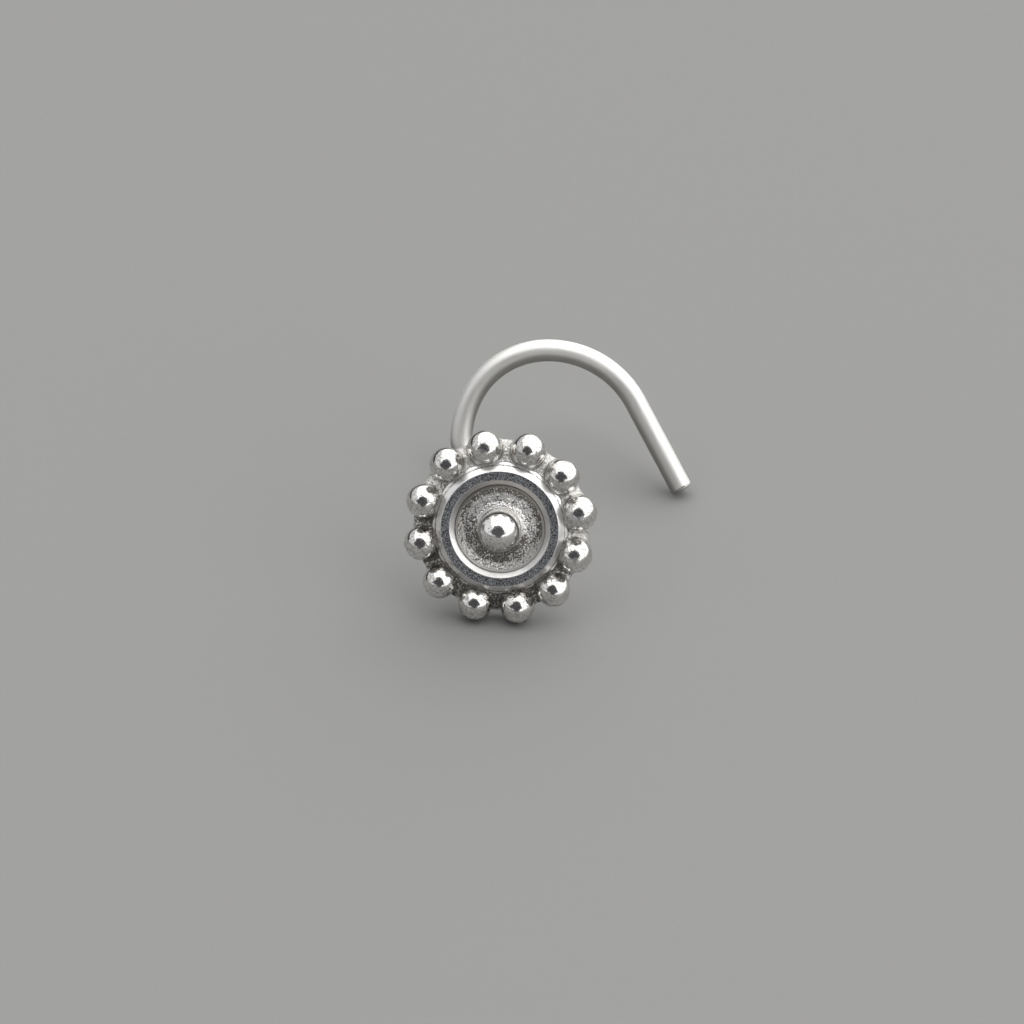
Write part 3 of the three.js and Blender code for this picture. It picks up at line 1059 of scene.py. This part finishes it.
def wire_route(wire):
    """The wire's centre line as lists of points and of (heading, side) pairs, root to cut end."""
    place, heading = Vector((0, 0, WIRE_ROOT_DEPTH)), Vector((0, 0, -1))
    side = Vector((1, 0, 0))
    places, bearings = [place.copy()], [(heading.copy(), side.copy())]

    def straight(distance):
        nonlocal place
        steps = math.ceil(distance / WIRE_STEP)
        for _ in range(steps):
            place = place + heading * (distance / steps)
            places.append(place.copy())
            bearings.append((heading.copy(), side.copy()))

    def bend(radius, turn, axis):
        nonlocal place, heading, side
        steps = math.ceil(radius * turn / WIRE_STEP)
        centre = place + axis.cross(heading) * radius
        once = Matrix.Rotation(turn / steps, 3, axis)
        for _ in range(steps):
            place = centre + once @ (place - centre)
            heading, side = once @ heading, once @ side
            places.append(place.copy())
            bearings.append((heading.copy(), side.copy()))

    straight(WIRE_ROOT_DEPTH + wire.reach - wire.bend)
    bend(wire.bend, math.pi / 2, Vector((math.sin(wire.heading), -math.cos(wire.heading), 0)))
    for hook_bend in HOOK_BENDS:
        bend(hook_bend["radius"] * MM, math.radians(hook_bend["turn"]), Vector((0, 0, -1)))
    straight(wire.leg)
    return places, bearings


class NOSE_STUD_OT_make_nose_screw_wire(bpy.types.Operator):
    """Makes the post behind the head, its bend and the open hook with its cut end"""

    bl_idname = "nose_stud.make_nose_screw_wire"
    bl_label = "Nose-Screw Wire"

    def execute(self, context):
        stud = context.scene.nose_stud
        wire = stud.wire
        places, bearings = wire_route(wire)
        span = WIRE_STEP * len(places)
        turn = np.linspace(0, 2 * math.pi, WIRE_SIDES, endpoint=False)
        rows, unbent = [], []

        def add_ring(place, bearing, radius, along):
            heading, side = bearing
            lift = heading.cross(side)
            spoke = np.outer(np.cos(turn), side) + np.outer(np.sin(turn), lift)
            rows.append(np.array(place) + radius * spoke)
            flat = np.stack([np.cos(turn), np.sin(turn)], axis=1) * radius
            unbent.append(np.column_stack([flat, np.full(WIRE_SIDES, along)]))

        before_edge = len(places) - math.ceil(wire.cut_edge / WIRE_STEP)
        for index in range(before_edge):
            add_ring(places[index], bearings[index], wire.radius, index * WIRE_STEP)
        end, bearing = places[-1], bearings[-1]
        for tilt in np.linspace(0, math.pi / 2, 9):
            back = wire.cut_edge * (1 - math.sin(tilt))
            radius = wire.radius - wire.cut_edge * (1 - math.cos(tilt))
            add_ring(end - bearing[0] * back, bearing, radius, span - back)
        dome = bearing[0] * CUT_DOME
        for part in (0.8, 0.55, 0.3, 0.12):
            add_ring(end + dome * (1 - part), bearing, (wire.radius - wire.cut_edge) * part, span)
        tips = np.array([places[0], end + dome])
        mesh = woven_mesh("NoseScrewWire", np.array(rows), tips)
        unbent = np.concatenate([*unbent, [[0, 0, 0], [0, 0, span]]])
        keep_places(mesh, "unbent", unbent)
        cut = smooth_step(span - 0.12 * MM, span - 0.02 * MM, unbent[:, 2])
        # The underside at rest gets painted shade.
        keep(mesh, cut=cut, tarnish=facing_down(mesh, -0.4, 0.0))
        stretched = unbent * np.array((1, 1, 0.18))
        raise_skin(mesh, 0.003 * MM * waves(stretched, 0.3 * MM))
        stand_piece("NoseScrewWire", mesh, satin_silver(stud.finish))
        return {"FINISHED"}


# --- The studio ----------------------------------------------------------------------------------

FLOOR_RADIUS = 900 * MM
FLOOR_GAP = 0.01 * MM

# Light of each part of the tent round the stud: its two panels, the seam between them, the dark gap
# that the camera looks through, which the slit under the panels shares, and the strip behind that
# is left under the panels' hem.
KEY_LIGHT = (1.9, 1.89, 1.87)
FILL_LIGHT = (0.8, 0.805, 0.81)
SEAM_LIGHT = (0.36, 0.37, 0.385)
GAP_LIGHT = (0.09, 0.09, 0.097)
HEM_LIGHT = (0.06, 0.06, 0.062)

# Where those parts are. A way is given by its share to the camera's right, level away from it, and
# up. The seam lies square to its way, and the gap's ragged outline is a little aside of the camera.
SEAM_WAY = (0.7635, -0.025, 0.644)
HEM_WAY = (-0.6, 0.8, 0)
HEM_ELEVATION = math.radians(17)
SLIT_ELEVATION = math.radians(9)
GAP_ASIDE = math.radians(8)
GAP_LOWER = math.radians(2)
GAP_RADIUS = math.radians(35.5)
GAP_SOFTNESS = math.radians(2.5)
GAP_RAGGEDNESS = 0.4

SOFTBOX_WAY = (0.5, 0.45, 0.9)
SOFTBOX_SIZE = 500 * MM
SOFTBOX_DISTANCE = 700 * MM
SOFTBOX_WATTS = 0.5

# Where the camera aims, right and up in its view from the middle of the circle of granules
AIM_RIGHT = 0.414 * MM
AIM_UP = 0.549 * MM


def beside_camera(studio, right, away, up):
    """A direction given by its share to the camera's right, level away from it, and up."""
    cos, sin = math.cos(studio.azimuth), math.sin(studio.azimuth)
    return Vector((right * cos - away * sin, right * sin + away * cos, up)).normalized()


def from_stud(azimuth, elevation):
    """The direction from the stud to something at this azimuth and elevation."""
    level = math.cos(elevation)
    return Vector((math.sin(azimuth) * level, -math.cos(azimuth) * level, math.sin(elevation)))


def light_tent(studio):
    """The air round the stud: a big bright panel over its right and back, a dimmer one at its
    left with a seam between them, and the dark gap round the camera."""
    air = bpy.data.worlds.get("light_tent") or bpy.data.worlds.new("light_tent")
    air.use_nodes = True
    bench = Bench(air.node_tree)
    direction = bench.add("TexCoord").outputs["Generated"]
    height = bench.add("SeparateXYZ", {0: direction}).outputs["Z"]

    def towards(way):
        inputs = {0: direction, 1: way}
        return bench.add("VectorMath", inputs, operation="DOT_PRODUCT").outputs["Value"]

    def under(elevation, soft_from, most):
        """Eases from most to 0 between a share of the elevation's height and the whole."""
        top = math.sin(elevation)
        return bench.ramp(height, math.sin(elevation * soft_from), top, most, 0.0)

    past_seam = towards(beside_camera(studio, *SEAM_WAY))
    panels = bench.blend(bench.ramp(past_seam, -0.01, 0.01), FILL_LIGHT, KEY_LIGHT)
    on_seam = bench.ramp(bench.math("ABSOLUTE", past_seam), 0.015, 0.03, 1.0, 0.0)
    panels = bench.blend(on_seam, panels, SEAM_LIGHT)
    behind_left = bench.ramp(towards(beside_camera(studio, *HEM_WAY)), 0.6, 0.8)
    under_hem = bench.times(under(HEM_ELEVATION, 0.9, 1.0), behind_left)
    panels = bench.blend(under_hem, panels, HEM_LIGHT)
    panels = bench.blend(under(SLIT_ELEVATION, 0.5, 0.75), panels, GAP_LIGHT)
    gap = towards(from_stud(studio.azimuth - GAP_ASIDE, studio.elevation - GAP_LOWER))
    ragged = bench.times(bench.plus(bench.clouds(direction, 0.55), -0.5), GAP_RAGGEDNESS)
    outside, inside = GAP_RADIUS + GAP_SOFTNESS, GAP_RADIUS - GAP_SOFTNESS
    in_gap = bench.ramp(bench.plus(gap, ragged), math.cos(outside), math.cos(inside))
    tent = bench.blend(in_gap, panels, GAP_LIGHT)
    seen = bench.add("LightPath").outputs["Is Camera Ray"]
    shown = bench.blend(seen, tent, studio.backdrop)
    background = bench.add("Background", {"Color": shown})
    bench.add("OutputWorld", {"Surface": background.outputs["Background"]})
    return air


def pale_floor(studio):
    """The floor's plain, slightly satin paint."""
    made = bpy.data.materials.get("pale_floor") or bpy.data.materials.new("pale_floor")
    made.use_nodes = True
    bench = Bench(made.node_tree)
    inputs = {"Base Color": (*studio.floor, 1.0), "Roughness": 0.75, "Specular IOR Level": 0.2}
    shader = bench.add("BsdfPrincipled", inputs)
    bench.add("OutputMaterial", {"Surface": shader.outputs["BSDF"]})
    return made


class NOSE_STUD_OT_set_up_studio(bpy.types.Operator):
    """Sets up the plain floor, the light tent with its key softbox, and the camera"""

    bl_idname = "nose_stud.set_up_studio"
    bl_label = "Studio"

    def execute(self, context):
        studio = context.scene.nose_stud.studio
        self.lay_floor(studio)
        context.scene.world = light_tent(studio)
        context.scene.view_settings.view_transform = "Standard"
        self.hang_softbox(studio)
        context.scene.camera = self.stand_camera(context.scene.nose_stud)
        return {"FINISHED"}

    def lay_floor(self, studio):
        disc = bmesh.new()
        bmesh.ops.create_circle(disc, cap_ends=True, segments=160, radius=FLOOR_RADIUS)
        mesh = bpy.data.meshes.new("Floor")
        disc.to_mesh(mesh)
        disc.free()
        mesh.materials.append(pale_floor(studio))
        floor = fresh_object("Floor", mesh)
        floor.location.z = -FLOOR_GAP

    def hang_softbox(self, studio):
        softbox = bpy.data.lights.new("KeySoftbox", "AREA")
        softbox.size = SOFTBOX_SIZE
        softbox.energy = SOFTBOX_WATTS
        hung = fresh_object("KeySoftbox", softbox)
        way = beside_camera(studio, *SOFTBOX_WAY)
        hung.location = way * SOFTBOX_DISTANCE
        hung.rotation_euler = way.to_track_quat("Z", "Y").to_euler()
        hung.visible_camera = False

    def stand_camera(self, stud):
        studio = stud.studio
        view = bpy.data.cameras.new("Camera")
        view.lens = studio.lens
        view.clip_start, view.clip_end = 10 * MM, 10.0
        camera = fresh_object("Camera", view)
        back = from_stud(studio.azimuth, studio.elevation)
        level = Matrix((beside_camera(studio, 1, 0, 0), Vector(), back)).transposed()
        level.col[1] = back.cross(level.col[0])
        turned = level @ Matrix.Rotation(studio.roll, 3, "Z")
        middle_of_granules = head_at_rest() @ Vector((0, 0, stud.plate.height))
        aim = middle_of_granules + turned @ Vector((AIM_RIGHT, AIM_UP, 0))
        placed = turned.to_4x4()
        placed.translation = aim + back * studio.distance
        camera.matrix_world = placed
        return camera


# --- Panel, registration and the whole job -------------------------------------------------------

MAKERS = (
    NOSE_STUD_OT_make_granulated_plate,
    NOSE_STUD_OT_make_stepped_ring,
    NOSE_STUD_OT_make_dish,
    NOSE_STUD_OT_make_centre_ball,
    NOSE_STUD_OT_make_nose_screw_wire,
    NOSE_STUD_OT_set_up_studio,
)


class NOSE_STUD_PT_pieces(bpy.types.Panel):
    """Lists the pieces of the nose stud and the sizes that can be changed"""

    bl_idname = "NOSE_STUD_PT_pieces"
    bl_label = "Nose Stud"
    bl_space_type = "VIEW_3D"
    bl_region_type = "UI"
    bl_category = "Nose Stud"

    def draw(self, context):
        layout = self.layout
        stud = context.scene.nose_stud
        for maker in MAKERS:
            layout.operator(maker.bl_idname)
        for group in ("plate", "ring", "dish", "ball", "wire", "finish", "studio"):
            box = layout.box()
            box.label(text=group.title())
            settings = getattr(stud, group)
            for name in settings.bl_rna.properties.keys():
                if name not in ("rna_type", "name"):
                    box.prop(settings, name)


CLASSES = (
    NoseStudPlate,
    NoseStudRing,
    NoseStudDish,
    NoseStudBall,
    NoseStudWire,
    NoseStudFinish,
    NoseStudStudio,
    NoseStudSettings,
    *MAKERS,
    NOSE_STUD_PT_pieces,
)


def register():
    for kind in CLASSES:
        bpy.utils.register_class(kind)
    bpy.types.Scene.nose_stud = PointerProperty(type=NoseStudSettings)


def unregister():
    del bpy.types.Scene.nose_stud
    for kind in reversed(CLASSES):
        bpy.utils.unregister_class(kind)


def main():
    register()
    for job in (
        bpy.ops.nose_stud.make_granulated_plate,
        bpy.ops.nose_stud.make_stepped_ring,
        bpy.ops.nose_stud.make_dish,
        bpy.ops.nose_stud.make_centre_ball,
        bpy.ops.nose_stud.make_nose_screw_wire,
        bpy.ops.nose_stud.set_up_studio,
    ):
        job()


if __name__ == "__main__":
    main()
